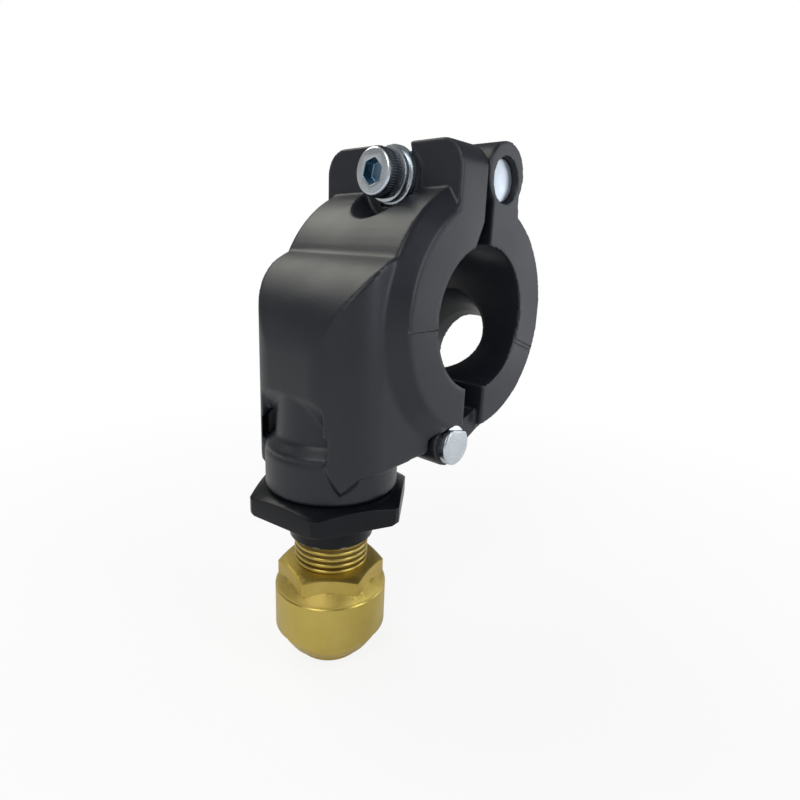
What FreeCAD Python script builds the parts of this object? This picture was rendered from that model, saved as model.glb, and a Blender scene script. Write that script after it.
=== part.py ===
import FreeCAD, Part
import os
import Sketcher

# Saddle tee for a round pipe, in millimetres.
# Origin at the middle of the pipe bore, +Y along the bore away from the
# viewer, +Z up, +X towards the hinged jaw. The outlet hangs down at -X.

SIZES = {
    "bore_radius": 20.1,
    "half_length": 25.0,
    "barrel_radius": 37.0,
    "barrel_back": 36.2,
    "face_radius": 31.75,
    "rim_radius": 33.6,
    "face_chamfer": 3.8,
    "rim_chamfer": 3.4,
    "split_top": -2.6,
    "split_flare": -5.6,
    "split_low": -5.95,
    "ledge_right": -30.2,
    "ledge_left": -32.9,
    "ledge_end": -17.0,
    "outlet_x": -34.0,
    "riser_left": -49.5,
    "riser_top": 16.5,
    "riser_round": 27.0,
    "riser_sweep": 6.1,
    "riser_half": 21.2,
    "riser_corner": 13.5,
    "riser_knee": -26.0,
    "riser_foot": -46.4,
    "web_foot": -38.3,
    "web_right": -16.8,
    "web_low": -36.8,
    "neck_radius": 12.0,
    "collar_radius": 13.1,
    "collar_top": -35.2,
    "collar_edge": -38.0,
    "collar_foot": 15.2,
    "foot_face": -47.0,
    "flow_radius": 7.0,
    "lug_face": -14.0,
    "lug_round": 7.0,
    "lug_above": 8.3,
    "lug_slot": 5.3,
    "slot_depth": 8.0,
    "screw_y": -2.0,
    "clamp_height": 37.7,
    "trough_radius": 8.6,
    "seal_hole": 7.6,
    "seal_rim": 11.0,
    "seal_back": -23.0,
    "jaw_radius": 31.9,
    "jaw_belly": 33.2,
    "jaw_top": 0.8,
    "jaw_low": 3.1,
    "boss_shift": 0.2,
    "boss_above": 1.3,
    "boss_radius": 8.7,
    "boss_slot": 5.2,
    "jaw_slot_depth": 5.0,
    "window_tilt": 25.0,
    "window_radius": 11.2,
    "window_flare": 14.0,
    "hinge_x": -9.2,
    "hinge_z": -35.6,
    "ear_radius": 6.6,
    "ear_step": 2.5,
    "ear_length": 8.55,
    "ear_gap": 0.1,
    "ear_room": 7.1,
    "pin_radius": 3.5,
    "pin_running": 0.05,
    "pin_head": 5.7,
    "pin_head_proud": 0.4,
    "head_room": 0.3,
    "pin_flat": 4.5,
    "clip_radius": 5.6,
    "clip_inset": 2.38,
    "clip_groove": 2.9,
    "clip_thick": 1.0,
    "nut_x": 6.2,
    "nut_radius": 6.0,
    "nut_running": 0.07,
    "nut_inset": 1.8,
    "nut_chamfer": 0.5,
    "screw_radius": 3.95,
    "screw_hole": 4.0,
    "screw_tip": 22.2,
    "head_radius": 6.3,
    "head_length": 5.3,
    "head_under": -17.75,
    "head_chamfer": 0.6,
    "socket_radius": 3.4641,
    "socket_depth": 3.2,
    "washer_radius": 7.8,
    "washer_hole": 4.2,
    "washer_thick": 1.6,
    "washer_gap": 0.05,
    "spring_radius": 7.2,
    "spring_thick": 2.0,
    "spring_slit": 1.0,
    "hex_circle": 23.67,
    "hex_round": 23.2,
    "hex_turn": 37.0,
    "hex_top": -47.02,
    "hex_low": -53.4,
    "hex_bevel": 1.6,
    "spigot_radius": 12.1,
    "spigot_low": -63.0,
    "spigot_bevel": 0.9,
    "stub_radius": 10.9,
    "stub_hole": 10.95,
    "stub_top": -39.0,
    "socket_thread": 10.52,
    "socket_roof": -52.0,
    "ring_radius": 12.25,
    "ring_wire": 0.85,
    "ring_height": -46.15,
    "ring_room": 13.2,
    "ring_roof": -45.2,
    "thread_radius": 10.48,
    "thread_top": -53.3,
    "thread_low": -70.4,
    "relief_radius": 9.3,
    "gasket_hole": 7.6,
    "gasket_radius": 10.2,
    "brass_circle": 15.59,
    "brass_turn": 17.0,
    "brass_top": -71.0,
    "brass_low": -75.0,
    "brass_bevel": 1.5,
    "cone_low": -78.2,
    "cup_radius": 16.4,
    "skirt_radius": 13.4,
    "skirt_low": -88.0,
    "tube_radius": 7.6,
    "tube_stop": -73.5,
    "stop_radius": 5.2,
    "cup_top": -78.28,
    "cup_low": -91.2,
    "cup_end": -97.0,
    "cup_end_radius": 12.6,
    "cup_flat": 16.4,
    "cup_turn": 17.0,
    "nose_radius": 10.0,
    "nose_low": -100.3,
    "cup_bore": 13.45,
    "chamber_radius": 11.0,
    "chamber_low": -95.6,
    "mouth_radius": 7.9,
    "tube_ring_radius": 9.3,
    "tube_ring_wire": 1.6,
    "tube_ring_height": -89.75,
    "spacer_top": -91.5,
    "spacer_low": -92.7,
    "spacer_hole": 7.8,
    "grip_low": -95.5,
    "grip_hole": 7.65,
    "grip_radius": 10.9,
}

# Sizes that follow from the ones above
FOLLOWING = {
    "riser_bend": "riser_left + riser_sweep",
    "lug_top": "clamp_height + lug_above",
    "slot_floor": "clamp_height - slot_depth",
    "boss_x": "nut_x + boss_shift",
    "boss_z": "clamp_height + boss_above",
    "jaw_slot_floor": "clamp_height - jaw_slot_depth",
    "ear_outer": "half_length - ear_step",
    "ear_inner": "ear_outer - ear_length",
    "knuckle_half": "ear_inner - ear_gap",
    "pin_head_front": "- half_length - pin_head_proud",
    "clip_front": "half_length - clip_inset",
    "nut_half": "half_length - nut_inset",
}

document = FreeCAD.newDocument("saddle_tee")
sheet = document.addObject("Spreadsheet::Sheet", "Sizes")
for row, (alias, value) in enumerate(SIZES.items(), start=1):
    sheet.set("A%d" % row, alias)
    sheet.set("B%d" % row, str(value))
    sheet.setAlias("B%d" % row, alias)
for row, (alias, formula) in enumerate(FOLLOWING.items(), start=len(SIZES) + 2):
    sheet.set("A%d" % row, alias)
    sheet.set("B%d" % row, "=" + formula)
    sheet.setAlias("B%d" % row, alias)
document.recompute()
NAMES = set(SIZES) | set(FOLLOWING)

ALONG_X = FreeCAD.Rotation(FreeCAD.Vector(0, 1, 0), 90)
ALONG_Y = FreeCAD.Rotation(FreeCAD.Vector(1, 0, 0), -90)
UPRIGHT = FreeCAD.Rotation()
SIDE_VIEW = FreeCAD.Rotation(FreeCAD.Vector(1, 0, 0), 90)
END_VIEW = FreeCAD.Rotation(FreeCAD.Vector(1, 1, 1), 120)


def amount(text):
    total = 0.0
    sign = 1.0
    for word in str(text).split():
        if word == "+":
            sign = 1.0
        elif word == "-":
            sign = -1.0
        else:
            product = 1.0
            for factor in word.split("*"):
                product *= float(sheet.get(factor)) if factor in NAMES else float(factor)
            total += sign * product
            sign = 1.0
    return total


def linked(text):
    words = []
    for word in str(text).split():
        factors = ["Sizes." + part if part in NAMES else part for part in word.split("*")]
        words.append(" * ".join(factors))
    return " ".join(words)


def bind(target, name, text):
    target.setExpression(name, linked(text))


def place(target, where, rotation=UPRIGHT):
    target.Placement = FreeCAD.Placement(FreeCAD.Vector(*[amount(v) for v in where]), rotation)
    for letter, text in zip("xyz", where):
        if not isinstance(text, (int, float)):
            bind(target, ".Placement.Base." + letter, text)


def cylinder(name, radius, length, where, rotation=UPRIGHT):
    made = document.addObject("Part::Cylinder", name)
    bind(made, "Radius", radius)
    bind(made, "Height", length)
    place(made, where, rotation)
    return made


def box(name, length, width, height, where, rotation=UPRIGHT):
    made = document.addObject("Part::Box", name)
    bind(made, "Length", length)
    bind(made, "Width", width)
    bind(made, "Height", height)
    place(made, where, rotation)
    return made


def prism(name, circle, length, where, turn):
    made = document.addObject("Part::Prism", name)
    made.Polygon = 6
    bind(made, "Circumradius", circle)
    bind(made, "Height", length)
    place(made, where, FreeCAD.Rotation(FreeCAD.Vector(0, 0, 1), turn))
    return made


def join(name, pieces):
    made = document.addObject("Part::MultiFuse", name)
    made.Shapes = pieces
    made.Refine = True
    return made


def cut(name, base, tools):
    tool = tools[0]
    if len(tools) > 1:
        tool = document.addObject("Part::MultiFuse", name + "_tools")
        tool.Shapes = tools
    made = document.addObject("Part::Cut", name)
    made.Base = base
    made.Tool = tool
    made.Refine = True
    return made


def common(name, pieces):
    made = document.addObject("Part::MultiCommon", name)
    made.Shapes = pieces
    return made


# A closed outline. Each corner is (across, up), and an arc that ends at a
# corner adds its radius and a point that it passes near.
def draw(sketch, corners):
    count = len(corners)
    spots = [FreeCAD.Vector(amount(c[0]), amount(c[1]), 0) for c in corners]
    arcs = []
    for index in range(count):
        after = (index + 1) % count
        corner = corners[after]
        if len(corner) > 2:
            middle = FreeCAD.Vector(amount(corner[3]), amount(corner[4]), 0)
            sketch.addGeometry(Part.Arc(spots[index], middle, spots[after]), False)
            arcs.append((index, corner[2]))
        else:
            sketch.addGeometry(Part.LineSegment(spots[index], spots[after]), False)
    ends = []
    for index in range(count):
        curve = sketch.Geometry[index]
        start = curve.StartPoint
        near = (start - spots[index]).Length < (curve.EndPoint - spots[index]).Length
        ends.append((1, 2) if near else (2, 1))
    for index in range(count):
        after = (index + 1) % count
        sketch.addConstraint(
            Sketcher.Constraint("Coincident", index, ends[index][1], after, ends[after][0]))
    for index in range(count):
        pairs = (("DistanceX", corners[index][0]), ("DistanceY", corners[index][1]))
        for kind, text in pairs:
            if amount(text) == 0.0:
                axis = -2 if kind == "DistanceX" else -1
                sketch.addConstraint(
                    Sketcher.Constraint("PointOnObject", index, ends[index][0], axis))
                continue
            number = sketch.addConstraint(
                Sketcher.Constraint(kind, -1, 1, index, ends[index][0], amount(text)))
            bind(sketch, "Constraints[%d]" % number, text)
    for index, text in arcs:
        number = sketch.addConstraint(Sketcher.Constraint("Radius", index, amount(text)))
        bind(sketch, "Constraints[%d]" % number, text)


# A turned piece: its outline lies in the plane of radius and height.
def turned(name, corners, where=(0, 0, 0), rotation=UPRIGHT):
    body = document.addObject("PartDesign::Body", name)
    sketch = body.newObject("Sketcher::SketchObject", name + "_outline")
    plane = [f for f in body.Origin.OriginFeatures if f.Role == "XZ_Plane"][0]
    sketch.AttachmentSupport = (plane, [""])
    sketch.MapMode = "FlatFace"
    draw(sketch, corners)
    document.recompute()
    feature = body.newObject("PartDesign::Revolution", name + "_turn")
    feature.Profile = sketch
    feature.ReferenceAxis = (sketch, ["V_Axis"])
    feature.Angle = 360
    body.Tip = feature
    place(body, where, rotation)
    return body


# A flat outline drawn out to both sides of its plane.
def slab(name, corners, half, view=SIDE_VIEW, where=(0, 0, 0)):
    sketch = document.addObject("Sketcher::SketchObject", name + "_outline")
    draw(sketch, corners)
    place(sketch, where, view)
    made = document.addObject("Part::Extrusion", name)
    made.Base = sketch
    made.DirMode = "Normal"
    made.Symmetric = True
    made.Solid = True
    bind(made, "LengthFwd", "2*" + half if not isinstance(half, (int, float)) else 2 * half)
    return made


def name_it(target, label):
    target.Label = label
    return target


# Outlet body: barrel half
barrel = turned("barrel_form", [
    (0, "- half_length"),
    ("face_radius", "- half_length"),
    ("barrel_radius", "- half_length + face_chamfer"),
    ("barrel_back", "half_length - rim_chamfer"),
    ("rim_radius", "half_length"),
    (0, "half_length"),
], rotation=ALONG_Y)
lug = slab("lug_form", [
    ("- half_length", 10),
    ("half_length", 10),
    ("half_length", "lug_top - lug_round"),
    ("half_length - lug_round", "lug_top", "lug_round",
     "half_length - 0.29*lug_round", "lug_top - 0.29*lug_round"),
    ("- half_length + lug_round", "lug_top"),
    ("- half_length", "lug_top - lug_round", "lug_round",
     "- half_length + 0.29*lug_round", "lug_top - 0.29*lug_round"),
], "- 0.5*lug_face + 0.5*split_top", END_VIEW, ("0.5*lug_face + 0.5*split_top", 0, 0))
document.recompute()

# Outlet body: riser, seen from the side and from above
riser_side = slab("riser_side", [
    (-14, "riser_top"),
    ("riser_left + 0.622*riser_round", "riser_top"),
    ("riser_left", "riser_top - 0.926*riser_round", "riser_round",
     "riser_left + 0.17*riser_round", "riser_top - 0.367*riser_round"),
    ("riser_left", "riser_knee"),
    ("riser_bend", "riser_foot", 32, "riser_left + 1.6", "riser_foot + 10.6"),
    ("riser_bend + 0.8", "riser_foot"),
    ("riser_bend + 2.6", "web_foot"),
    ("outlet_x - 2", "web_foot"),
    ("web_right", "web_low"),
    ("web_right", -14),
    (-14, -14),
], 30.0)
riser_front = slab("riser_front", [
    ("- riser_half - 1", "riser_top + 1"),
    ("- riser_half - 1", "web_foot"),
    ("- riser_half + 2", "web_foot"),
    ("- collar_radius - 0.4", "riser_foot - 0.2"),
    ("collar_radius + 0.4", "riser_foot - 0.2"),
    ("riser_half - 2", "web_foot"),
    ("riser_half + 1", "web_foot"),
    ("riser_half + 1", "riser_top + 1"),
], "- 2*riser_left", END_VIEW)
riser_plan = document.addObject("Part::Box", "riser_plan_block")
bind(riser_plan, "Length", "- riser_left + 5")
bind(riser_plan, "Width", "2*riser_half")
bind(riser_plan, "Height", "riser_top - riser_foot + 20")
place(riser_plan, ("riser_left", "- riser_half", "riser_foot - 10"))
document.recompute()
riser_round = document.addObject("Part::Fillet", "riser_plan")
riser_round.Base = riser_plan
upright = []
for number, edge in enumerate(riser_plan.Shape.Edges, start=1):
    box_of = edge.BoundBox
    if box_of.XLength < 0.01 and box_of.YLength < 0.01 and box_of.XMin < amount("riser_left") + 1:
        upright.append((number, amount("riser_corner"), amount("riser_corner")))
riser_round.Edges = upright
riser_block = common("riser_block", [riser_side, riser_round, riser_front])
riser_hollow = slab("riser_hollow", [
    ("riser_left - 20", -19.0),
    ("riser_left", -19.0),
    ("riser_left + 7.3", -34.0),
    ("riser_left + 7.3", "riser_foot - 14"),
    ("riser_left - 20", "riser_foot - 14"),
], "collar_radius - 1.6")
riser = cut("riser", riser_block, [riser_hollow])
neck = turned("neck_form", [
    (0, "foot_face"),
    ("collar_foot", "foot_face"),
    ("collar_foot - 0.5", "foot_face + 1.6"),
    ("collar_radius + 0.1", "foot_face + 5.2"),
    ("collar_radius", "collar_edge"),
    ("collar_radius - 0.4", "collar_top - 1"),
    ("neck_radius", "collar_top"),
    ("neck_radius", -10),
    (0, -10),
], ("outlet_x", 0, 0))

# Outlet body: what the jaw, the hinge and the screw need cut away
jaw_side = slab("jaw_side", [
    ("split_top", 70),
    ("split_top", 26),
    ("split_flare", 19.5),
    ("split_flare", 0),
    ("split_low", -18),
    ("split_low", "ledge_right"),
    ("ledge_end", "ledge_left"),
    ("ledge_end", -70),
    (70, -70),
    (70, 70),
], 40.0)
shell = join("body_shell", [barrel, lug])
shell_half = cut("body_half", shell, [jaw_side])
knuckle = cylinder("knuckle", "ear_radius", "2*knuckle_half",
                   ("hinge_x", "- knuckle_half", "hinge_z"), ALONG_Y)
knuckle_web = slab("knuckle_web", [
    ("hinge_x - ear_radius", "hinge_z"),
    ("hinge_x - ear_radius", "hinge_z + 8.6"),
    ("split_low - 0.3", "hinge_z + 8.6"),
    ("split_low + 0.4", "ledge_right - 0.5"),
    ("hinge_x + ear_radius", "hinge_z"),
], "knuckle_half")
body_solid = join("body_solid", [shell_half, riser, neck, knuckle, knuckle_web])
bore = cylinder("pipe_space", "bore_radius", "2*half_length + 20",
                (0, "- half_length - 10", 0), ALONG_Y)
port = cylinder("port", "flow_radius", "- outlet_x - 10", ("outlet_x", 0, 0), ALONG_X)
drop_end = document.addObject("Part::Sphere", "drop_end")
bind(drop_end, "Radius", "flow_radius")
place(drop_end, ("outlet_x", 0, 0))
drop_low = cylinder("drop_low", "flow_radius", "- foot_face + 3", ("outlet_x", 0, "foot_face - 3"))
stub_room = cylinder("stub_room", "stub_hole", "stub_top + 0.5 - foot_face + 5",
                     ("outlet_x", 0, "foot_face - 5"))
ring_room = cylinder("ring_room", "ring_room", "ring_roof - foot_face + 5",
                     ("outlet_x", 0, "foot_face - 5"))
seal_room = cylinder("seal_room", "seal_rim", "- seal_back - 12", ("seal_back", 0, 0), ALONG_X)
trough = cylinder("trough", "trough_radius", 40,
                  ("lug_face - 40", "screw_y", "clamp_height"), ALONG_X)
lug_slot = box("lug_slot", 30, "2*lug_slot", 40,
               ("lug_face - 10", "screw_y - lug_slot", "slot_floor"))
ear_front = cylinder("ear_front_room", "ear_room", "ear_outer + 0.1 - knuckle_half",
                     ("hinge_x", "- ear_outer - 0.1", "hinge_z"), ALONG_Y)
head_space = cylinder("head_space", "pin_head + head_room", "half_length - ear_outer + 2",
                      ("hinge_x", "- half_length - 2", "hinge_z"), ALONG_Y)
ear_back = cylinder("ear_back_room", "ear_room", "half_length + 1 - knuckle_half",
                    ("hinge_x", "knuckle_half", "hinge_z"), ALONG_Y)
pin_room = cylinder("pin_room", "pin_radius", "2*half_length + 30",
                    ("hinge_x", "- half_length - 15", "hinge_z"), ALONG_Y)
outlet_body = name_it(cut("body_part", body_solid, [
    bore, port, drop_end, drop_low, stub_room, ring_room, seal_room, trough, lug_slot,
    ear_front, ear_back, head_space, pin_room]), "outlet_body")

# Saddle seal around the port, its face shaped by the pipe
seal_blank = turned("seal_blank", [
    ("seal_hole", "seal_back + 0.02"),
    ("seal_rim - 0.05", "seal_back + 0.02"),
    ("seal_rim - 0.05", -12),
    ("seal_hole", -12),
], rotation=ALONG_X)
seal_face = cylinder("seal_face", "bore_radius + 0.1", "4*seal_rim", (0, "- 2*seal_rim", 0), ALONG_Y)
port_seal = name_it(cut("seal_part", seal_blank, [seal_face]), "port_seal")

# Hinged jaw
jaw_ring = turned("jaw_ring", [
    (0, "- half_length"),
    ("jaw_radius", "- half_length"),
    ("jaw_belly", "- half_length + 4"),
    ("jaw_belly", "half_length - 4"),
    ("jaw_radius", "half_length"),
    (0, "half_length"),
], rotation=ALONG_Y)
body_side = slab("body_side", [
    (-70, 70),
    ("jaw_top", 70),
    ("jaw_top", 18),
    ("jaw_low", -18),
    ("jaw_low", -70),
    (-70, -70),
], 40.0)
jaw_half = cut("jaw_half", jaw_ring, [body_side])
boss = cylinder("boss", "boss_radius", "2*half_length", ("boss_x", "- half_length", "boss_z"), ALONG_Y)
boss_neck = slab("boss_neck", [
    ("jaw_top", 25),
    ("jaw_top", "boss_z - 5"),
    ("boss_x", "boss_z"),
    ("boss_x + 7.4", "boss_z - 4.8"),
    ("boss_x + 7.8", 27),
], "half_length")
arm = slab("arm", [
    ("jaw_low", "hinge_z + 8.1"),
    ("hinge_x + 4.8", "hinge_z + 5.8"),
    ("hinge_x", "hinge_z"),
    ("hinge_x + 3.6", "hinge_z - 5.3"),
    ("hinge_x + 7.6", "hinge_z - 1.6"),
    ("hinge_x + 13.3", "hinge_z + 1.3"),
    ("hinge_x + 22.7", "hinge_z + 4.7"),
    ("hinge_x + 20.2", "hinge_z + 11.6"),
], "ear_outer")
ears = cylinder("ears", "ear_radius", "2*ear_outer", ("hinge_x", "- ear_outer", "hinge_z"), ALONG_Y)
jaw_solid = join("jaw_solid", [jaw_half, boss, boss_neck, arm, ears])
jaw_bore = cylinder("jaw_bore", "bore_radius", "2*half_length + 20",
                    (0, "- half_length - 10", 0), ALONG_Y)
nut_room = cylinder("nut_room", "nut_radius + nut_running", "2*half_length + 10",
                    ("nut_x", "- half_length - 5", "clamp_height"), ALONG_Y)
boss_slot = box("boss_slot", 40, "2*boss_slot", 30, (-10, "screw_y - boss_slot", "jaw_slot_floor"))
ear_gap = box("ear_gap", 20, "2*ear_inner", 30, (-18.0, "- ear_inner", -50))
ear_turn = cylinder("ear_turn_room", "ear_room", "2*ear_inner",
                    ("hinge_x", "- ear_inner", "hinge_z"), ALONG_Y)
ear_hole = cylinder("ear_hole", "pin_radius + pin_running", "2*half_length + 30",
                    ("hinge_x", "- half_length - 15", "hinge_z"), ALONG_Y)
window = turned("window", [
    (0, "bore_radius - 10"),
    ("window_flare + 0.9", "bore_radius - 10"),
    ("window_radius", "bore_radius + 7"),
    ("window_radius", "jaw_belly + 17"),
    (0, "jaw_belly + 17"),
], rotation=FreeCAD.Rotation(FreeCAD.Vector(0, 1, 0), 90 + amount("window_tilt")))
hinged_jaw = name_it(cut("jaw_part", jaw_solid, [
    jaw_bore, nut_room, boss_slot, ear_gap, ear_turn, ear_hole, window]), "hinged_jaw")

# Hinge pin with a flat on its head, and the clip behind it
pin_blank = turned("pin_blank", [
    (0, "pin_head_front"),
    ("pin_head - 0.4", "pin_head_front"),
    ("pin_head", "pin_head_front + 0.4"),
    ("pin_head", "- ear_outer - 0.1"),
    ("pin_radius", "- ear_outer - 0.1"),
    ("pin_radius", "clip_front - 0.05"),
    ("clip_groove", "clip_front - 0.05"),
    ("clip_groove", "clip_front + clip_thick + 0.05"),
    ("pin_radius", "clip_front + clip_thick + 0.05"),
    ("pin_radius", "half_length - 0.5"),
    ("pin_radius - 0.5", "half_length"),
    (0, "half_length"),
], ("hinge_x", 0, "hinge_z"), ALONG_Y)
pin_flat = slab("pin_flat", [
    ("hinge_x - 14", "hinge_z + pin_flat + 3.1"),
    ("hinge_x - 14", "hinge_z + pin_flat + 14"),
    ("hinge_x + 14", "hinge_z + pin_flat + 14"),
    ("hinge_x + 14", "hinge_z + pin_flat - 3.1"),
], 5.0, SIDE_VIEW, (0, "pin_head_front - 3.6", 0))
hinge_pin = name_it(cut("pin_part", pin_blank, [pin_flat]), "hinge_pin")
clip_ring = turned("clip_ring", [
    ("clip_groove + 0.03", "clip_front"),
    ("clip_radius", "clip_front"),
    ("clip_radius", "clip_front + clip_thick"),
    ("clip_groove + 0.03", "clip_front + clip_thick"),
], ("hinge_x", 0, "hinge_z"), ALONG_Y)
clip_mouth = box("clip_mouth", 3.6, 10, 10, ("hinge_x - 1.8", "clip_front - 3", "hinge_z - 11"))
hinge_circlip = name_it(cut("clip_part", clip_ring, [clip_mouth]), "hinge_circlip")

# Round cross nut in the boss
nut_blank = turned("nut_blank", [
    (0, "- nut_half"),
    ("nut_radius - nut_chamfer", "- nut_half"),
    ("nut_radius", "- nut_half + nut_chamfer"),
    ("nut_radius", "nut_half - nut_chamfer"),
    ("nut_radius - nut_chamfer", "nut_half"),
    (0, "nut_half"),
], ("nut_x", 0, "clamp_height"), ALONG_Y)
nut_hole = cylinder("nut_hole", "screw_hole", 30, ("nut_x - 15", "screw_y", "clamp_height"), ALONG_X)
barrel_nut = name_it(cut("nut_part", nut_blank, [nut_hole]), "barrel_nut")

# Washers and clamp screw
flat_blank = turned("flat_blank", [
    ("washer_hole", "lug_face - washer_gap - washer_thick"),
    ("washer_radius", "lug_face - washer_gap - washer_thick"),
    ("washer_radius", "lug_face - washer_gap"),
    ("washer_hole", "lug_face - washer_gap"),
], (0, "screw_y", "clamp_height"), ALONG_X)
flat_washer = name_it(flat_blank, "flat_washer")
spring_blank = turned("spring_blank", [
    ("washer_hole", "head_under + 0.02"),
    ("spring_radius", "head_under + 0.02"),
    ("spring_radius", "head_under + 0.02 + spring_thick"),
    ("washer_hole", "head_under + 0.02 + spring_thick"),
], (0, "screw_y", "clamp_height"), ALONG_X)
spring_cut = box("spring_cut", 4, "spring_slit", 10,
                 ("head_under - 1", "screw_y", "clamp_height + 2"))
spring_washer = name_it(cut("spring_part", spring_blank, [spring_cut]), "spring_washer")
screw_blank = turned("screw_blank", [
    (0, "head_under - head_length"),
    ("head_radius - head_chamfer", "head_under - head_length"),
    ("head_radius", "head_under - head_length + head_chamfer"),
    ("head_radius", "head_under"),
    ("screw_radius", "head_under"),
    ("screw_radius", "screw_tip - 0.8"),
    ("screw_radius - 0.8", "screw_tip"),
    (0, "screw_tip"),
], (0, "screw_y", "clamp_height"), ALONG_X)
socket = document.addObject("Part::Prism", "socket")
socket.Polygon = 6
bind(socket, "Circumradius", "socket_radius")
bind(socket, "Height", "socket_depth + 2")
place(socket, ("head_under - head_length - 2", "screw_y", "clamp_height"),
      ALONG_X.multiply(FreeCAD.Rotation(FreeCAD.Vector(0, 0, 1), 14)))
clamp_screw = name_it(cut("screw_part", screw_blank, [socket]), "clamp_screw")

# Black reducing bush with its hexagon, and the rings above and below it
bush_hex = prism("bush_hex", "hex_circle", "hex_top - hex_low", ("outlet_x", 0, "hex_low"),
                 amount("hex_turn"))
bush_limit = turned("bush_limit", [
    (0, "hex_low"),
    ("hex_round - 0.5", "hex_low"),
    ("hex_round", "hex_low + 0.5"),
    ("hex_round", "hex_top - hex_bevel"),
    ("hex_round - 2.7*hex_bevel", "hex_top"),
    (0, "hex_top"),
], ("outlet_x", 0, 0))
bush_head = common("bush_head", [bush_hex, bush_limit])
bush_stem = turned("bush_stem", [
    (0, "spigot_low"),
    ("spigot_radius - spigot_bevel", "spigot_low"),
    ("spigot_radius", "spigot_low + spigot_bevel"),
    ("spigot_radius", "hex_low + 1"),
    ("stub_radius", "hex_low + 1"),
    ("stub_radius", "stub_top - 0.8"),
    ("stub_radius - 0.8", "stub_top"),
    (0, "stub_top"),
], ("outlet_x", 0, 0))
bush_solid = join("bush_solid", [bush_head, bush_stem])
bush_bore = turned("bush_bore", [
    (0, "spigot_low - 7"),
    ("socket_thread", "spigot_low - 7"),
    ("socket_thread", "socket_roof"),
    ("flow_radius + 0.2", "socket_roof"),
    ("flow_radius + 0.2", "stub_top + 9"),
    (0, "stub_top + 9"),
], ("outlet_x", 0, 0))
hex_bush = name_it(cut("bush_part", bush_solid, [bush_bore]), "hex_bush")
ring = document.addObject("Part::Torus", "ring_part")
bind(ring, "Radius1", "ring_radius")
bind(ring, "Radius2", "ring_wire")
place(ring, ("outlet_x", 0, "ring_height"))
bush_seal = name_it(ring, "bush_seal")
adapter_seal = name_it(turned("gasket_part", [
    ("gasket_hole", "thread_top + 0.02"),
    ("gasket_radius", "thread_top + 0.02"),
    ("gasket_radius", "socket_roof - 0.02"),
    ("gasket_hole", "socket_roof - 0.02"),
], ("outlet_x", 0, 0)), "adapter_seal")

# Brass adapter: threaded stem, hexagon, forged shoulder and inner skirt
stem = turned("stem", [
    (0, "thread_top"),
    ("thread_radius - 0.8", "thread_top"),
    ("thread_radius", "thread_top - 0.8"),
    ("thread_radius", "thread_low"),
    ("relief_radius + 0.4", "thread_low"),
    ("relief_radius + 0.4", "brass_low + 1"),
    (0, "brass_low + 1"),
], ("outlet_x", 0, 0))
brass_hex = prism("brass_hex", "brass_circle", "brass_top - brass_low + 1",
                  ("outlet_x", 0, "brass_low - 1"), amount("brass_turn"))
brass_limit = turned("brass_limit", [
    (0, "brass_low - 2"),
    ("brass_circle + 0.2", "brass_low - 2"),
    ("brass_circle + 0.2", "brass_top - brass_bevel"),
    ("brass_circle - 1.9*brass_bevel", "brass_top"),
    (0, "brass_top"),
], ("outlet_x", 0, 0))
brass_head = common("brass_head", [brass_hex, brass_limit])
shoulder = turned("shoulder", [
    (0, "skirt_low"),
    ("skirt_radius - 0.6", "skirt_low"),
    ("skirt_radius", "skirt_low + 0.6"),
    ("skirt_radius", "cone_low"),
    ("cup_radius - 0.1", "cone_low"),
    ("cup_radius - 0.5", "cone_low + 0.8"),
    ("skirt_radius + 0.2", "brass_low"),
    (0, "brass_low"),
], ("outlet_x", 0, 0))
adapter_solid = join("adapter_solid", [stem, brass_head, shoulder])
adapter_bore = turned("adapter_bore", [
    (0, "skirt_low - 10"),
    ("tube_radius + 0.9", "skirt_low - 10"),
    ("tube_radius + 0.9", "skirt_low"),
    ("tube_radius", "skirt_low + 1.2"),
    ("tube_radius", "tube_stop"),
    ("stop_radius", "tube_stop"),
    ("stop_radius", "thread_top + 13"),
    (0, "thread_top + 13"),
], ("outlet_x", 0, 0))
brass_adapter = name_it(cut("adapter_part", adapter_solid, [adapter_bore]), "brass_adapter")

# Union nut: turned cup, six tapered flats and a short nose
cup = turned("cup", [
    (0, "cup_low"),
    ("cup_radius", "cup_low"),
    ("cup_radius", "cup_top - 0.4"),
    ("cup_radius - 0.3", "cup_top"),
    (0, "cup_top"),
], ("outlet_x", 0, 0))
cup_taper = turned("cup_taper", [
    (0, "cup_end"),
    ("cup_end_radius", "cup_end"),
    ("cup_radius", "cup_low"),
    (0, "cup_low"),
], ("outlet_x", 0, 0))
cup_hex = prism("cup_hex", "cup_flat", "cup_low - cup_end + 2", ("outlet_x", 0, "cup_end - 1"),
                amount("cup_turn"))
cup_foot = common("cup_foot", [cup_taper, cup_hex])
nose = turned("nose", [
    (0, "nose_low"),
    ("nose_radius - 0.5", "nose_low"),
    ("nose_radius", "nose_low + 0.5"),
    ("nose_radius", "cup_end + 1"),
    (0, "cup_end + 1"),
], ("outlet_x", 0, 0))
union_solid = join("union_solid", [cup, cup_foot, nose])
union_bore = turned("union_bore", [
    (0, "nose_low - 10"),
    ("mouth_radius + 0.6", "nose_low - 10"),
    ("mouth_radius + 0.6", "nose_low"),
    ("mouth_radius", "nose_low + 0.8"),
    ("mouth_radius", "chamber_low"),
    ("chamber_radius", "chamber_low"),
    ("chamber_radius", "skirt_low - 0.1"),
    ("cup_bore", "skirt_low - 0.1"),
    ("cup_bore", "cup_top + 8"),
    (0, "cup_top + 8"),
], ("outlet_x", 0, 0))
union_nut = name_it(cut("union_part", union_solid, [union_bore]), "union_nut")

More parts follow.
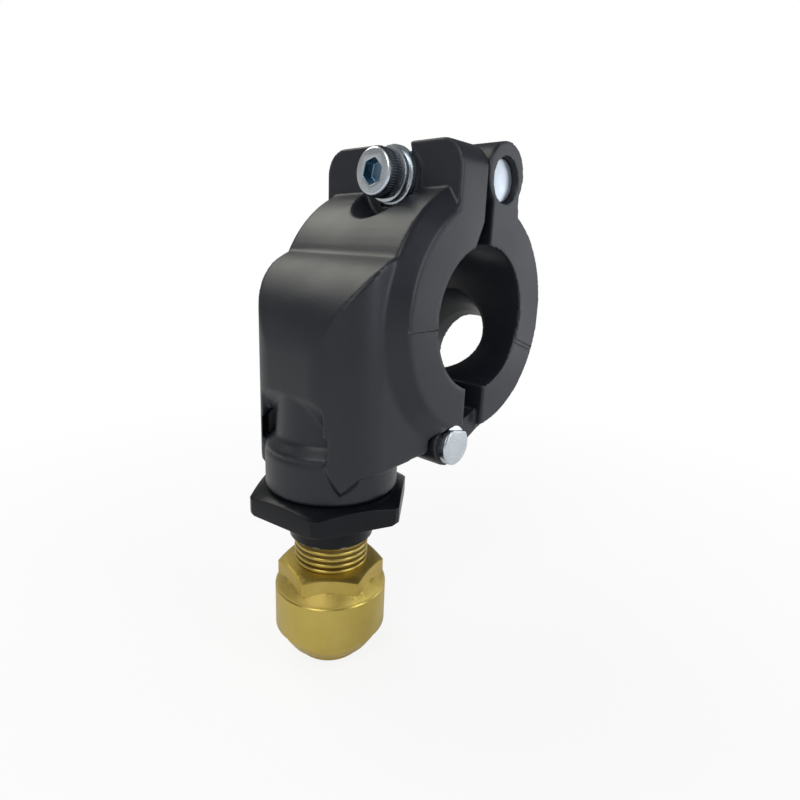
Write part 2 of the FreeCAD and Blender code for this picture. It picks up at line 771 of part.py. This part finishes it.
# Tube ring, spacer and toothed grip ring inside the union nut
tube_ring = document.addObject("Part::Torus", "tube_ring_part")
bind(tube_ring, "Radius1", "tube_ring_radius")
bind(tube_ring, "Radius2", "tube_ring_wire")
place(tube_ring, ("outlet_x", 0, "tube_ring_height"))
tube_oring = name_it(tube_ring, "tube_oring")
ring_spacer = name_it(turned("spacer_part", [
    ("spacer_hole", "spacer_low"),
    ("chamber_radius - 0.05", "spacer_low"),
    ("chamber_radius - 0.05", "spacer_top"),
    ("spacer_hole", "spacer_top"),
], ("outlet_x", 0, 0)), "ring_spacer")
grip_ring = name_it(turned("grip_part", [
    ("grip_radius", "grip_low"),
    ("grip_radius", "spacer_low - 0.05"),
    ("grip_radius - 1.2", "spacer_low - 0.05"),
    ("grip_hole", "grip_low + 1.4"),
    ("grip_hole", "grip_low + 0.6"),
    ("grip_radius - 1.2", "grip_low"),
], ("outlet_x", 0, 0)), "grip_ring")

nodes = [
    outlet_body, port_seal, hinged_jaw, hinge_pin, hinge_circlip, barrel_nut, flat_washer,
    spring_washer, clamp_screw, hex_bush, bush_seal, adapter_seal, brass_adapter, union_nut,
    tube_oring, ring_spacer, grip_ring,
]
document.recompute()
for item in document.Objects:
    if "Invalid" in item.State or "Error" in item.State:
        raise RuntimeError("%s is %s" % (item.Name, item.State))
for node in nodes:
    shape = node.Shape
    if shape.isNull() or not shape.isValid() or len(shape.Solids) != 1:
        raise RuntimeError("%s has no single valid solid" % node.Label)
os.makedirs("parts", exist_ok=True)
for node in nodes:
    node.Shape.exportStep("parts/%s.step" % node.Label)
    limits = node.Shape.BoundBox
    print("%-14s %9.1f mm3  x %.1f %.1f  y %.1f %.1f  z %.1f %.1f" % (
        node.Label, node.Shape.Volume, limits.XMin, limits.XMax, limits.YMin, limits.YMax,
        limits.ZMin, limits.ZMax))
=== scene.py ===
import math

import bmesh
import bpy
from mathutils import Matrix, Vector


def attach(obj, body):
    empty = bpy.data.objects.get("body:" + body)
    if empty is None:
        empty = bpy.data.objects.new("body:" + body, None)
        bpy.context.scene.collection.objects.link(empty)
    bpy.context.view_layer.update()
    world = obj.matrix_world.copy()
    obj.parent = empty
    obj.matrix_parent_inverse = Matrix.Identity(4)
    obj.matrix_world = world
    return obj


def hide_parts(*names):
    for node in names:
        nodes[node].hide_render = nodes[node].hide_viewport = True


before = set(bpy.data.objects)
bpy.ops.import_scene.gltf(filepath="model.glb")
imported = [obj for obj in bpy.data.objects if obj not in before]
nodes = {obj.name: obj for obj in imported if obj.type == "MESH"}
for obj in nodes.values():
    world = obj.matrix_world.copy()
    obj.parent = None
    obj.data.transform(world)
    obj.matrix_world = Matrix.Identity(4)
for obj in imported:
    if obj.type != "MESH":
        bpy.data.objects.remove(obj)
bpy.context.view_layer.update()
scene = bpy.context.scene
MM = 0.001
OUTLET_X = -34.0 * MM
CLAMP_Z = 37.7 * MM
SCREW_Y = -2.0 * MM
FRONT_FACE_Y = -25.0
HEAD_FACE_X = -23.05 * MM
HEAD_UNDER_X = -17.8 * MM
KNURL_X = -20.1 * MM
SCREW_THREAD_X = -1.2 * MM
BRASS_HEX_TOP = -71.0 * MM
POCKET_SIDE_X = -38.5
FLOOR_Z = -100.8 * MM
FLOOR_HALF = 4.0
BODY_CELL = 0.55 * MM
JAW_CELL = 0.5 * MM
SKIN_ROUNDS = 4
WELD = 0.002 * MM


# Shared shader groups. Inputs are (name, socket type, value), outputs (name, socket type).
def new_group(name, inputs, outputs):
    group = bpy.data.node_groups.new(name, "ShaderNodeTree")
    for label, kind, value in inputs:
        made = group.interface.new_socket(name=label, in_out="INPUT", socket_type=kind)
        made.default_value = value
    for label, kind in outputs:
        group.interface.new_socket(name=label, in_out="OUTPUT", socket_type=kind)
    return group, group.nodes.new("NodeGroupInput"), group.nodes.new("NodeGroupOutput")


def noise(tree, spot, size, detail, rough=0.5):
    made = tree.nodes.new("ShaderNodeTexNoise")
    made.inputs["Detail"].default_value = detail
    made.inputs["Roughness"].default_value = rough
    tree.links.new(spot, made.inputs["Vector"])
    if isinstance(size, (int, float)):
        made.inputs["Scale"].default_value = size
    else:
        tree.links.new(size, made.inputs["Scale"])
    return made.outputs["Fac"]


# Maps a value from one range to another, whose ends may be sockets
def spread(tree, value, low, high, new_low, new_high):
    made = tree.nodes.new("ShaderNodeMapRange")
    tree.links.new(value, made.inputs["Value"])
    for name, amount in (("From Min", low), ("From Max", high)):
        made.inputs[name].default_value = amount
    for name, amount in (("To Min", new_low), ("To Max", new_high)):
        if isinstance(amount, (int, float)):
            made.inputs[name].default_value = amount
        else:
            tree.links.new(amount, made.inputs[name])
    return made.outputs["Result"]


def math_node(tree, operation, first, second=0.0):
    made = tree.nodes.new("ShaderNodeMath")
    made.operation = operation
    for index, value in enumerate((first, second)):
        if isinstance(value, (int, float)):
            made.inputs[index].default_value = value
        else:
            tree.links.new(value, made.inputs[index])
    return made.outputs["Value"]


def blend_colours(tree, mask, first, second):
    made = tree.nodes.new("ShaderNodeMix")
    made.data_type = "RGBA"
    tree.links.new(mask, made.inputs[0])
    for socket, value in ((made.inputs[6], first), (made.inputs[7], second)):
        if isinstance(value, tuple):
            socket.default_value = value
        else:
            tree.links.new(value, socket)
    return made.outputs[2]


def build_surface_group():
    group, came, gone = new_group(
        "cast_and_turned_surface",
        [("Place", "NodeSocketVector", (0, 0, 0)), ("Grain", "NodeSocketFloat", 900.0),
         ("Patch", "NodeSocketFloat", 60.0), ("Low", "NodeSocketFloat", 0.3),
         ("High", "NodeSocketFloat", 0.45), ("Sheen And Wear", "NodeSocketFloat", 0.5)],
        [("Roughness", "NodeSocketFloat"), ("Height", "NodeSocketFloat"),
         ("Tone", "NodeSocketFloat"), ("Edge", "NodeSocketFloat")])
    place = came.outputs["Place"]
    grain = noise(group, place, came.outputs["Grain"], 3.0, 0.6)
    patch = noise(group, place, came.outputs["Patch"], 4.0, 0.55)
    rough = spread(group, patch, 0.3, 0.7, came.outputs["Low"], came.outputs["High"])
    group.links.new(rough, gone.inputs["Roughness"])
    group.links.new(grain, gone.inputs["Height"])
    group.links.new(patch, gone.inputs["Tone"])
    # A lighter-colour mask on crests: painted edge highlight, partly edge wear
    point = group.nodes.new("ShaderNodeNewGeometry")
    crest = spread(group, point.outputs["Pointiness"], 0.53, 0.62, 0.0, 1.0)
    broken = spread(group, grain, 0.3, 0.6, 0.35, 1.0)
    edge_sheen_and_wear = math_node(group, "MULTIPLY", math_node(group, "MULTIPLY", crest, broken),
                     came.outputs["Sheen And Wear"])
    group.links.new(edge_sheen_and_wear, gone.inputs["Edge"])
    return group


SURFACE = build_surface_group()


# A surface that drifts between two colours and between two roughnesses, and whose crests may be
# lightened: a painted edge highlight, partly edge wear
def new_material(name, base, second, low, high, metal=0.0, grain=900.0, patch=60.0,
                 bump=0.00002, edge_sheen_and_wear_amount=0.0, edge_sheen_and_wear=(0.3, 0.3, 0.3, 1), specular=0.5):
    made = bpy.data.materials.new(name)
    made.use_nodes = True
    tree = made.node_tree
    shader = tree.nodes["Principled BSDF"]
    place = tree.nodes.new("ShaderNodeTexCoord").outputs["Object"]
    surface = tree.nodes.new("ShaderNodeGroup")
    surface.node_tree = SURFACE
    tree.links.new(place, surface.inputs["Place"])
    for label, value in (("Grain", grain), ("Patch", patch), ("Low", low), ("High", high),
                         ("Sheen And Wear", edge_sheen_and_wear_amount)):
        surface.inputs[label].default_value = value
    shader.inputs["Specular IOR Level"].default_value = specular
    tone = spread(tree, surface.outputs["Tone"], 0.3, 0.7, 0.0, 1.0)
    colour = blend_colours(tree, tone, base, second)
    # Crests take the lighter colour: painted edge highlight, partly edge wear
    if edge_sheen_and_wear_amount:
        colour = blend_colours(tree, surface.outputs["Edge"], colour, edge_sheen_and_wear)
    tree.links.new(colour, shader.inputs["Base Color"])
    tree.links.new(surface.outputs["Roughness"], shader.inputs["Roughness"])
    shader.inputs["Metallic"].default_value = metal
    raised = tree.nodes.new("ShaderNodeBump")
    raised.inputs["Distance"].default_value = bump
    raised.inputs["Strength"].default_value = 1.0
    tree.links.new(surface.outputs["Height"], raised.inputs["Height"])
    tree.links.new(raised.outputs["Normal"], shader.inputs["Normal"])
    return made


# Blue-black coat whose crests go grey: painted edge highlight, partly edge wear
black_coat = new_material(
    "black_coat", (0.0080, 0.0098, 0.0155, 1), (0.0130, 0.0155, 0.0225, 1), 0.32, 0.44,
    grain=1500.0, patch=45.0, bump=0.00003, edge_sheen_and_wear_amount=0.5, edge_sheen_and_wear=(0.16, 0.16, 0.15, 1))
# Gloss black whose crests go light grey: painted edge highlight, partly edge wear
black_gloss = new_material(
    "black_gloss", (0.0045, 0.0050, 0.0075, 1), (0.0075, 0.0082, 0.0115, 1), 0.20, 0.30,
    grain=700.0, patch=60.0, bump=0.000008, edge_sheen_and_wear_amount=0.8, edge_sheen_and_wear=(0.4, 0.4, 0.38, 1), specular=0.22)
# Darker copy of the zinc plating: painted shade, a dark reflection on the screw head's knurled
# side
painted_shade_zinc = new_material(
    "painted_shade_zinc", (0.05, 0.06, 0.075, 1), (0.12, 0.14, 0.16, 1), 0.34, 0.5, metal=1.0,
    grain=2500.0, patch=260.0, bump=0.00002)
# Dark blue zinc for the inside of the hex socket: painted shade of the recess, tinted blue as
# passivated zinc
socket_shade_blue_zinc = new_material(
    "socket_shade_blue_zinc", (0.06, 0.16, 0.26, 1), (0.30, 0.42, 0.50, 1), 0.22, 0.34, metal=1.0,
    grain=1500.0, patch=220.0, bump=0.000005)
# Dark brass for the faces between the thread turns: painted shade in the thread grooves
thread_root_shade_brass = new_material(
    "thread_root_shade_brass", (0.13, 0.085, 0.02, 1), (0.22, 0.15, 0.045, 1), 0.4, 0.5, metal=1.0)
zinc_plate = new_material(
    "zinc_plate", (0.62, 0.70, 0.78, 1), (0.80, 0.83, 0.84, 1), 0.20, 0.34, metal=1.0,
    grain=1800.0, patch=160.0, bump=0.000006)
nut_face = new_material(
    "nut_face", (0.60, 0.65, 0.72, 1), (0.68, 0.72, 0.78, 1), 0.34, 0.48, metal=1.0,
    grain=2500.0, patch=200.0, bump=0.00001)
turned_brass = new_material(
    "turned_brass", (0.58, 0.44, 0.105, 1), (0.66, 0.52, 0.155, 1), 0.30, 0.42, metal=1.0,
    grain=1200.0, patch=90.0, bump=0.000008)
forged_brass = new_material(
    "forged_brass", (0.54, 0.40, 0.095, 1), (0.66, 0.50, 0.14, 1), 0.38, 0.52, metal=1.0,
    grain=2600.0, patch=120.0, bump=0.00009)
dark_spring_steel = new_material(
    "dark_spring_steel", (0.05, 0.05, 0.055, 1), (0.08, 0.08, 0.085, 1), 0.35, 0.5, metal=0.8)
seal_rubber = new_material(
    "seal_rubber", (0.02, 0.02, 0.02, 1), (0.03, 0.03, 0.03, 1), 0.55, 0.7)
inner_plastic = new_material(
    "inner_plastic", (0.75, 0.74, 0.70, 1), (0.8, 0.79, 0.76, 1), 0.4, 0.5)
stainless = new_material(
    "stainless", (0.6, 0.6, 0.6, 1), (0.7, 0.7, 0.7, 1), 0.25, 0.35, metal=1.0)


# Sets what the modifiers make as the piece's own mesh
def bake(piece):
    graph = bpy.context.evaluated_depsgraph_get()
    mesh = bpy.data.meshes.new_from_object(piece.evaluated_get(graph))
    piece.modifiers.clear()
    piece.data = mesh
    return piece


# A copy of a node's mesh, welded, with its flat faces whole and one material
def merged_copy(node, name, material):
    mesh = nodes[node].data.copy()
    made = bpy.data.objects.new(name, mesh)
    scene.collection.objects.link(made)
    work = bmesh.new()
    work.from_mesh(mesh)
    bmesh.ops.remove_doubles(work, verts=work.verts, dist=WELD)
    bmesh.ops.dissolve_limit(work, angle_limit=math.radians(0.6), verts=work.verts,
                             edges=work.edges)
    work.to_mesh(mesh)
    work.free()
    mesh.materials.clear()
    mesh.materials.append(material)
    if "custom_normal" in mesh.attributes:
        mesh.attributes.remove(mesh.attributes["custom_normal"])
    return made


def round_edges(piece, width, segments=2, angle=28.0):
    bevel = piece.modifiers.new("rounded_edges", "BEVEL")
    bevel.width = width
    bevel.segments = segments
    bevel.limit_method = "ANGLE"
    bevel.angle_limit = math.radians(angle)
    bevel.miter_outer = "MITER_ARC"
    bake(piece)
    smooth(piece, 32.0)


# A casting has soft edges everywhere, so its skin is drawn afresh over the solid.
def cast_skin(piece, cell):
    skin = piece.modifiers.new("fresh_skin", "REMESH")
    skin.mode = "VOXEL"
    skin.voxel_size = cell
    skin.use_smooth_shade = True
    ease = piece.modifiers.new("soft_edges", "SMOOTH")
    ease.factor = 0.5
    ease.iterations = SKIN_ROUNDS
    bake(piece)


# A closed turned solid, its outline given as (radius, place along the axis) in mm
def turned_solid(name, outline, turn, steps=96):
    work = bmesh.new()
    rings = []
    for radius, along in outline:
        rings.append([work.verts.new((radius * MM * math.cos(2 * math.pi * i / steps),
                                      radius * MM * math.sin(2 * math.pi * i / steps),
                                      along * MM)) for i in range(steps)])
    for low, high in zip(rings, rings[1:]):
        for i in range(steps):
            after = (i + 1) % steps
            work.faces.new((low[i], low[after], high[after], high[i]))
    work.faces.new(rings[0][::-1])
    work.faces.new(rings[-1])
    bmesh.ops.recalc_face_normals(work, faces=work.faces)
    work.transform(turn)
    mesh = bpy.data.meshes.new(name)
    work.to_mesh(mesh)
    work.free()
    made = bpy.data.objects.new(name, mesh)
    scene.collection.objects.link(made)
    return made


def combine(piece, other, operation):
    change = piece.modifiers.new(other.name, "BOOLEAN")
    change.operation = operation
    change.solver = "EXACT"
    change.object = other
    bake(piece)
    bpy.data.objects.remove(other)


def smooth(piece, angle):
    for face in piece.data.polygons:
        face.use_smooth = True
    piece.data.set_sharp_from_angle(angle=math.radians(angle))


def finish_piece(piece, node, body):
    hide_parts(node)
    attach(piece, body)


# Geometry trees for what repeats: thread turns and knurl ridges
def geometry_tree(name, inputs):
    tree = bpy.data.node_groups.new(name, "GeometryNodeTree")
    tree.interface.new_socket(name="Geometry", in_out="INPUT", socket_type="NodeSocketGeometry")
    for label, kind, value in inputs:
        made = tree.interface.new_socket(name=label, in_out="INPUT", socket_type=kind)
        made.default_value = value
    tree.interface.new_socket(name="Material", in_out="INPUT", socket_type="NodeSocketMaterial")
    tree.interface.new_socket(name="Geometry", in_out="OUTPUT", socket_type="NodeSocketGeometry")
    return tree, tree.nodes.new("NodeGroupInput"), tree.nodes.new("NodeGroupOutput")


def thread_tree():
    tree, came, gone = geometry_tree("thread_turns", [
        ("Radius", "NodeSocketFloat", 0.01), ("Turns", "NodeSocketFloat", 5.0),
        ("Length", "NodeSocketFloat", 0.01), ("Ridge", "NodeSocketFloat", 0.0008)])
    spiral = tree.nodes.new("GeometryNodeCurveSpiral")
    spiral.inputs["Resolution"].default_value = 72
    links = tree.links
    links.new(came.outputs["Turns"], spiral.inputs["Rotations"])
    links.new(came.outputs["Radius"], spiral.inputs["Start Radius"])
    links.new(came.outputs["Radius"], spiral.inputs["End Radius"])
    links.new(came.outputs["Length"], spiral.inputs["Height"])
    outline = tree.nodes.new("GeometryNodeCurvePrimitiveCircle")
    outline.inputs["Resolution"].default_value = 8
    links.new(came.outputs["Ridge"], outline.inputs["Radius"])
    swept = tree.nodes.new("GeometryNodeCurveToMesh")
    swept.inputs["Fill Caps"].default_value = True
    links.new(spiral.outputs["Curve"], swept.inputs["Curve"])
    links.new(outline.outputs["Curve"], swept.inputs["Profile Curve"])
    shade = tree.nodes.new("GeometryNodeSetMaterial")
    links.new(swept.outputs["Mesh"], shade.inputs["Geometry"])
    links.new(came.outputs["Material"], shade.inputs["Material"])
    real = tree.nodes.new("GeometryNodeRealizeInstances")
    links.new(shade.outputs["Geometry"], real.inputs["Geometry"])
    links.new(real.outputs["Geometry"], gone.inputs["Geometry"])
    return tree


def knurl_tree():
    tree, came, gone = geometry_tree("knurl_ridges", [
        ("Radius", "NodeSocketFloat", 0.0065), ("Count", "NodeSocketInt", 54),
        ("Length", "NodeSocketFloat", 0.006), ("Ridge", "NodeSocketFloat", 0.00035)])
    links = tree.links
    ring = tree.nodes.new("GeometryNodeMeshCircle")
    links.new(came.outputs["Count"], ring.inputs["Vertices"])
    links.new(came.outputs["Radius"], ring.inputs["Radius"])
    bar = tree.nodes.new("GeometryNodeMeshCylinder")
    bar.inputs["Vertices"].default_value = 6
    links.new(came.outputs["Ridge"], bar.inputs["Radius"])
    links.new(came.outputs["Length"], bar.inputs["Depth"])
    spots = tree.nodes.new("GeometryNodeInstanceOnPoints")
    links.new(ring.outputs["Mesh"], spots.inputs["Points"])
    links.new(bar.outputs["Mesh"], spots.inputs["Instance"])
    real = tree.nodes.new("GeometryNodeRealizeInstances")
    links.new(spots.outputs["Instances"], real.inputs["Geometry"])
    shade = tree.nodes.new("GeometryNodeSetMaterial")
    links.new(real.outputs["Geometry"], shade.inputs["Geometry"])
    links.new(came.outputs["Material"], shade.inputs["Material"])
    links.new(shade.outputs["Geometry"], gone.inputs["Geometry"])
    return tree


THREAD = thread_tree()
KNURL = knurl_tree()


# A mesh that a tree grows from its named values, then turned into its place
def grown(name, tree, values, turn):
    made = bpy.data.objects.new(name, bpy.data.meshes.new(name))
    scene.collection.objects.link(made)
    grower = made.modifiers.new("grower", "NODES")
    grower.node_group = tree
    for item in tree.interface.items_tree:
        if item.in_out == "INPUT" and item.name in values:
            grower[item.identifier] = values[item.name]
    bake(made)
    made.data.transform(turn)
    return made


# Joins a grown mesh of one material to a piece
def add_to(piece, extra):
    material = next(kept for kept in extra.data.materials if kept)
    if material.name not in piece.data.materials:
        piece.data.materials.append(material)
    index = piece.data.materials.find(material.name)
    work = bmesh.new()
    work.from_mesh(piece.data)
    before = len(work.faces)
    work.from_mesh(extra.data)
    work.faces.ensure_lookup_table()
    for face in work.faces[before:]:
        face.material_index = index
        face.smooth = True
    work.to_mesh(piece.data)
    work.free()
    bpy.data.objects.remove(extra)


# Gives a material to the faces whose centre passes a test
def paint_where(piece, material, test):
    piece.data.materials.append(material)
    index = len(piece.data.materials) - 1
    for face in piece.data.polygons:
        if test(face.center):
            face.material_index = index


# A thin round bar on the front face, between two spots given as (x, z) in mm
def bar(name, start, end, radius):
    first = Vector((start[0], FRONT_FACE_Y, start[1])) * MM
    way = Vector((end[0], FRONT_FACE_Y, end[1])) * MM - first
    turn = Matrix.Translation(first) @ way.to_track_quat("Z", "Y").to_matrix().to_4x4()
    return turned_solid(name, [(radius, 0), (radius, way.length / MM)], turn, 12)


# Castings
OUTLET = Matrix.Translation((OUTLET_X, 0, 0))
SCREW_WAY = Matrix.Translation((-50 * MM, -1.3 * MM, 36.3 * MM)) @ Matrix.Rotation(
    math.radians(90), 4, "Y")
body_casting = merged_copy("outlet_body", "body_casting", black_coat)
combine(body_casting, turned_solid("screw_trough", [(10.5, 0), (10.5, 36)], SCREW_WAY),
        "DIFFERENCE")
pocket = turned_solid("pocket", [(16.0, -25), (19.4, -28), (19.4, -48), (16.0, -48)], OUTLET)
pocket_limit = turned_solid("pocket_limit", [(30, -60), (30, -10)],
                            Matrix.Translation(((POCKET_SIDE_X - 30) * MM, 0, 0)))
combine(pocket, pocket_limit, "INTERSECT")
combine(body_casting, pocket, "DIFFERENCE")

combine(body_casting, turned_solid("wide_collar", [
    (17.6, -46.9), (18.6, -46.3), (18.6, -36.0), (18.1, -35.5), (18.1, -34.9), (18.5, -34.4),
    (15.7, -31.4), (15.5, -26.0), (15.3, -15.0), (13.0, -12.0)], OUTLET), "UNION")
bores = turned_solid("bores", [
    (13.2, -50), (13.2, -45.2), (10.95, -45.2), (10.95, -38.5), (7.0, -38.5), (7.0, -5)], OUTLET)
combine(body_casting, bores, "DIFFERENCE")
cast_skin(body_casting, BODY_CELL)
combine(body_casting, bar("parting_line", (-32.0, -1.4), (-20.7, -1.4), 0.28), "DIFFERENCE")
smooth(body_casting, 40.0)
finish_piece(body_casting, "outlet_body", "tee")
jaw_casting = merged_copy("hinged_jaw", "jaw_casting", black_coat)
cast_skin(jaw_casting, JAW_CELL)
for shift in (-0.65, 0.65):
    combine(jaw_casting, bar("face_groove", (17.7, -7.3 + shift), (29.8, -11.3 + shift), 0.28),
            "DIFFERENCE")
smooth(jaw_casting, 40.0)
finish_piece(jaw_casting, "hinged_jaw", "jaw")

# Bush
bush = merged_copy("hex_bush", "gloss_bush", black_gloss)
round_edges(bush, 0.4 * MM, 3)
finish_piece(bush, "hex_bush", "tee")

# Brass pieces
adapter = merged_copy("brass_adapter", "forged_adapter", forged_brass)
round_edges(adapter, 0.2 * MM)
# Faces under the thread turns take the dark brass: painted shade in the grooves
paint_where(adapter, thread_root_shade_brass,
            lambda spot: spot.z > BRASS_HEX_TOP - 0.05 * MM and
            8 * MM < (spot.xy - Vector((OUTLET_X, 0))).length < 10.6 * MM)
UP_OUTLET = Matrix.Translation((OUTLET_X, 0, BRASS_HEX_TOP))
add_to(adapter, grown("outlet_thread", THREAD, {
    "Radius": 10.12 * MM, "Turns": 4.6, "Length": 8.35 * MM, "Ridge": 0.66 * MM,
    "Material": turned_brass}, UP_OUTLET))
finish_piece(adapter, "brass_adapter", "tee")
cup = merged_copy("union_nut", "brass_cup", turned_brass)
round_edges(cup, 0.25 * MM)
finish_piece(cup, "union_nut", "union")

# Clamp screw, washers, nut and pin
ALONG_SCREW = Matrix.Rotation(math.radians(90), 4, "Y")


def from_screw_axis(spot):
    return (spot - Vector((spot.x, SCREW_Y, CLAMP_Z))).length


screw = merged_copy("clamp_screw", "cap_screw", zinc_plate)
round_edges(screw, 0.35 * MM, 3)
# The head's knurled side takes the darker zinc: painted shade
paint_where(screw, painted_shade_zinc,
            lambda spot: HEAD_FACE_X + 0.5 * MM < spot.x < HEAD_UNDER_X and
            from_screw_axis(spot) > 5.5 * MM)
# The inside of the hex socket takes the dark blue zinc: painted shade in the recess
paint_where(screw, socket_shade_blue_zinc,
            lambda spot: HEAD_FACE_X + 0.05 * MM < spot.x < HEAD_FACE_X + 3.3 * MM and
            from_screw_axis(spot) < 3.6 * MM)
# Knurl ridges in the darker zinc: painted shade
add_to(screw, grown("head_knurl", KNURL, {
    "Radius": 6.2 * MM, "Count": 56, "Length": 4.0 * MM, "Ridge": 0.24 * MM,
    "Material": painted_shade_zinc},
    Matrix.Translation((KNURL_X, SCREW_Y, CLAMP_Z)) @ ALONG_SCREW))
add_to(screw, grown("screw_thread", THREAD, {
    "Radius": 3.6 * MM, "Turns": 18.0, "Length": 22.5 * MM, "Ridge": 0.36 * MM,
    "Material": zinc_plate},
    Matrix.Translation((SCREW_THREAD_X, SCREW_Y, CLAMP_Z)) @ ALONG_SCREW))
finish_piece(screw, "clamp_screw", "screw")
for node, name, body, material in (
        ("flat_washer", "plain_washer", "washers", zinc_plate),
        ("spring_washer", "split_washer", "washers", zinc_plate),
        ("barrel_nut", "cross_nut_bar", "cross_nut", nut_face),
        ("hinge_pin", "headed_pin", "tee", zinc_plate)):
    piece = merged_copy(node, name, material)
    round_edges(piece, 0.15 * MM)
    finish_piece(piece, node, body)

# Small pieces that keep the model's own meshes
for node, material in (
        ("hinge_circlip", dark_spring_steel), ("port_seal", seal_rubber),
        ("bush_seal", seal_rubber), ("adapter_seal", seal_rubber),
        ("tube_oring", seal_rubber), ("ring_spacer", inner_plastic), ("grip_ring", stainless)):
    nodes[node].data.materials.clear()
    nodes[node].data.materials.append(material)
    for face in nodes[node].data.polygons:
        face.material_index = 0

# Floor
floor_mesh = bpy.data.meshes.new("studio_floor")
floor_mesh.from_pydata([(FLOOR_HALF * x, FLOOR_HALF * y, FLOOR_Z)
                        for x, y in ((-1, -1), (1, -1), (1, 1), (-1, 1))], [], [(0, 1, 2, 3)])
floor = bpy.data.objects.new("studio_floor", floor_mesh)
scene.collection.objects.link(floor)
white_floor = bpy.data.materials.new("white_floor")
white_floor.use_nodes = True
tree = white_floor.node_tree
tree.nodes["Principled BSDF"].inputs["Base Color"].default_value = (0.86, 0.86, 0.86, 1)
tree.nodes["Principled BSDF"].inputs["Roughness"].default_value = 0.9
glow = tree.nodes.new("ShaderNodeEmission")
glow.inputs["Color"].default_value = (1, 1, 1, 1)
path = tree.nodes.new("ShaderNodeLightPath")
place = tree.nodes.new("ShaderNodeTexCoord").outputs["Object"]
distance = tree.nodes.new("ShaderNodeVectorMath")
distance.operation = "LENGTH"
tree.links.new(place, distance.inputs[0])
far = spread(tree, distance.outputs["Value"], 0.12, 0.30, 0.86, 1.0)
share = math_node(tree, "MULTIPLY", path.outputs["Is Camera Ray"], far)
mixed = tree.nodes.new("ShaderNodeMixShader")
tree.links.new(share, mixed.inputs["Fac"])
tree.links.new(tree.nodes["Principled BSDF"].outputs["BSDF"], mixed.inputs[1])
tree.links.new(glow.outputs["Emission"], mixed.inputs[2])
tree.links.new(mixed.outputs["Shader"], tree.nodes["Material Output"].inputs["Surface"])
floor_mesh.materials.append(white_floor)

# Light: the camera sees a white world, and reflections see a dimmer one that darkens upwards
world = bpy.data.worlds.new("studio")
scene.world = world
world.use_nodes = True
tree = world.node_tree
path = tree.nodes.new("ShaderNodeLightPath")
heading = tree.nodes.new("ShaderNodeSeparateXYZ")
tree.links.new(tree.nodes.new("ShaderNodeTexCoord").outputs["Generated"], heading.inputs[0])
ceiling = spread(tree, heading.outputs["Z"], -0.1, 0.35, 0.60, 0.16)
seen = math_node(tree, "MAXIMUM", path.outputs["Is Camera Ray"],
                 math_node(tree, "MULTIPLY", path.outputs["Is Glossy Ray"], ceiling))
strength = math_node(tree, "MAXIMUM", seen, math_node(
    tree, "MULTIPLY", math_node(tree, "SUBTRACT", 1.0, path.outputs["Is Glossy Ray"]), 0.42))
tree.nodes["Background"].inputs["Color"].default_value = (1, 1, 1, 1)
tree.links.new(strength, tree.nodes["Background"].inputs["Strength"])


# A rectangular lamp, its size given as (width, height)
def soft_lamp(name, where, target, size, power, colour=(1, 1, 1)):
    lamp = bpy.data.lights.new(name, "AREA")
    lamp.color = colour
    lamp.shape = "RECTANGLE"
    lamp.size = size[0]
    lamp.size_y = size[1]
    lamp.energy = power
    made = bpy.data.objects.new(name, lamp)
    scene.collection.objects.link(made)
    made.location = where
    made.rotation_euler = (Vector(target) - Vector(where)).to_track_quat("-Z", "Y").to_euler()


soft_lamp("key_left", (-0.55, -0.15, 0.45), (-0.02, 0, 0), (0.35, 0.5), 1.5)
soft_lamp("fill_front", (0.15, -0.7, 0.25), (0, 0, 0), (0.3, 0.5), 1.5, (0.86, 0.92, 1.0))
soft_lamp("top_back", (-0.08, 0.5, 0.55), (-0.02, 0, 0.01), (0.5, 0.35), 1.5, (1.0, 1.0, 0.9))
soft_lamp("right", (0.55, -0.35, 0.05), (0, 0, 0), (0.2, 0.4), 0.5, (0.92, 0.96, 1.0))

# Camera
camera_data = bpy.data.cameras.new("camera")
camera_data.sensor_width = 36.0
camera_data.lens = 25.175
camera_data.clip_start = 0.005
camera = bpy.data.objects.new("camera", camera_data)
scene.collection.objects.link(camera)
RIGHT = Vector((0.663058, -0.747416, 0.041527))
UP = Vector((0.164626, 0.199714, 0.965926))
BACK = Vector((-0.730242, -0.633628, 0.255466))
turn = Matrix((RIGHT, UP, BACK)).transposed().to_4x4()
camera.matrix_world = Matrix.Translation((-0.135024, -0.112292, 0.017538)) @ turn
scene.camera = camera
scene.view_settings.view_transform = "Standard"
